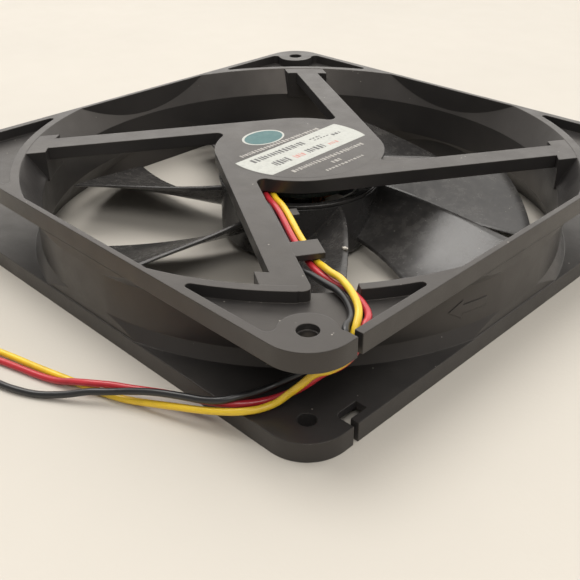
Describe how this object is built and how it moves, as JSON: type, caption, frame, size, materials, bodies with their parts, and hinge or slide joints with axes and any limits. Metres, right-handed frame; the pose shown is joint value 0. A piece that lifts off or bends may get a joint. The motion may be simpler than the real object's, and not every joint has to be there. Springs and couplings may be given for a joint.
{
  "type": "case fan",
  "caption": "Square axial case fan: flanged duct frame, motor base held by struts, bladed impeller that turns freely on its shaft, and a coiled wire lead ending in a socket.",
  "frame": {"origin": "on the fan's axis, at the lower face of the frame", "axes": "+Z along the fan's axis towards the side with the struts and the label; X and Y along the frame's sides, the wires leaving at the +X -Y corner"},
  "size_m": [0.14, 0.1864, 0.0259],
  "materials": {
    "black_plastic": "satin moulded black glass-filled plastic",
    "dark_plastic": "semi-gloss moulded black plastic",
    "label_film": "printed film, dark, satin",
    "steel": "bare steel",
    "magnet": "matt bonded ferrite",
    "brass": "turned brass",
    "bronze": "oiled sintered bronze",
    "copper": "enamelled copper wire",
    "tin": "tin plate",
    "clip_plastic": "natural nylon",
    "board": "solder-masked circuit board",
    "chip": "moulded epoxy",
    "wire_yellow": "glossy yellow insulation",
    "wire_red": "glossy red insulation",
    "wire_black": "glossy black insulation",
    "tie_plastic": "black nylon tie",
    "plug_plastic": "black connector plastic"
  },
  "bodies": {
    "housing": {"frame": "black_plastic", "label": "label_film", "bearing_tube": "brass", "bearing_bush": "bronze", "oil_ring": "clip_plastic", "thrust_pad": "clip_plastic", "stator_core": "steel", "insulator_lower": "clip_plastic", "insulator_upper": "clip_plastic", "winding_1": "copper", "winding_2": "copper", "winding_3": "copper", "winding_4": "copper", "winding_pin_1": "tin", "winding_pin_2": "tin", "winding_pin_3": "tin", "winding_pin_4": "tin", "circuit_board": "board", "hall_sensor": "chip", "driver_chip": "chip", "capacitor": "tin", "lead_yellow": "wire_yellow", "lead_red": "wire_red", "lead_black": "wire_black", "tail_yellow": "wire_yellow", "tail_red": "wire_red", "tail_black": "wire_black", "lead_coil": "wire_black", "lead_tie": "tie_plastic", "connector_housing": "plug_plastic", "terminal_1": "tin", "terminal_2": "tin", "terminal_3": "tin"},
    "rotor": {"impeller": "dark_plastic", "rotor_yoke": "steel", "rotor_magnet": "magnet", "rotor_bushing": "brass", "shaft": "steel", "retaining_clip": "clip_plastic"}
  },
  "joints": [
    {"name": "impeller_spin", "type": "hinge", "parent": "housing", "child": "rotor", "pos_m": [0, 0, 0.0125], "axis": [0, 0, 1], "continuous": true}
  ]
}
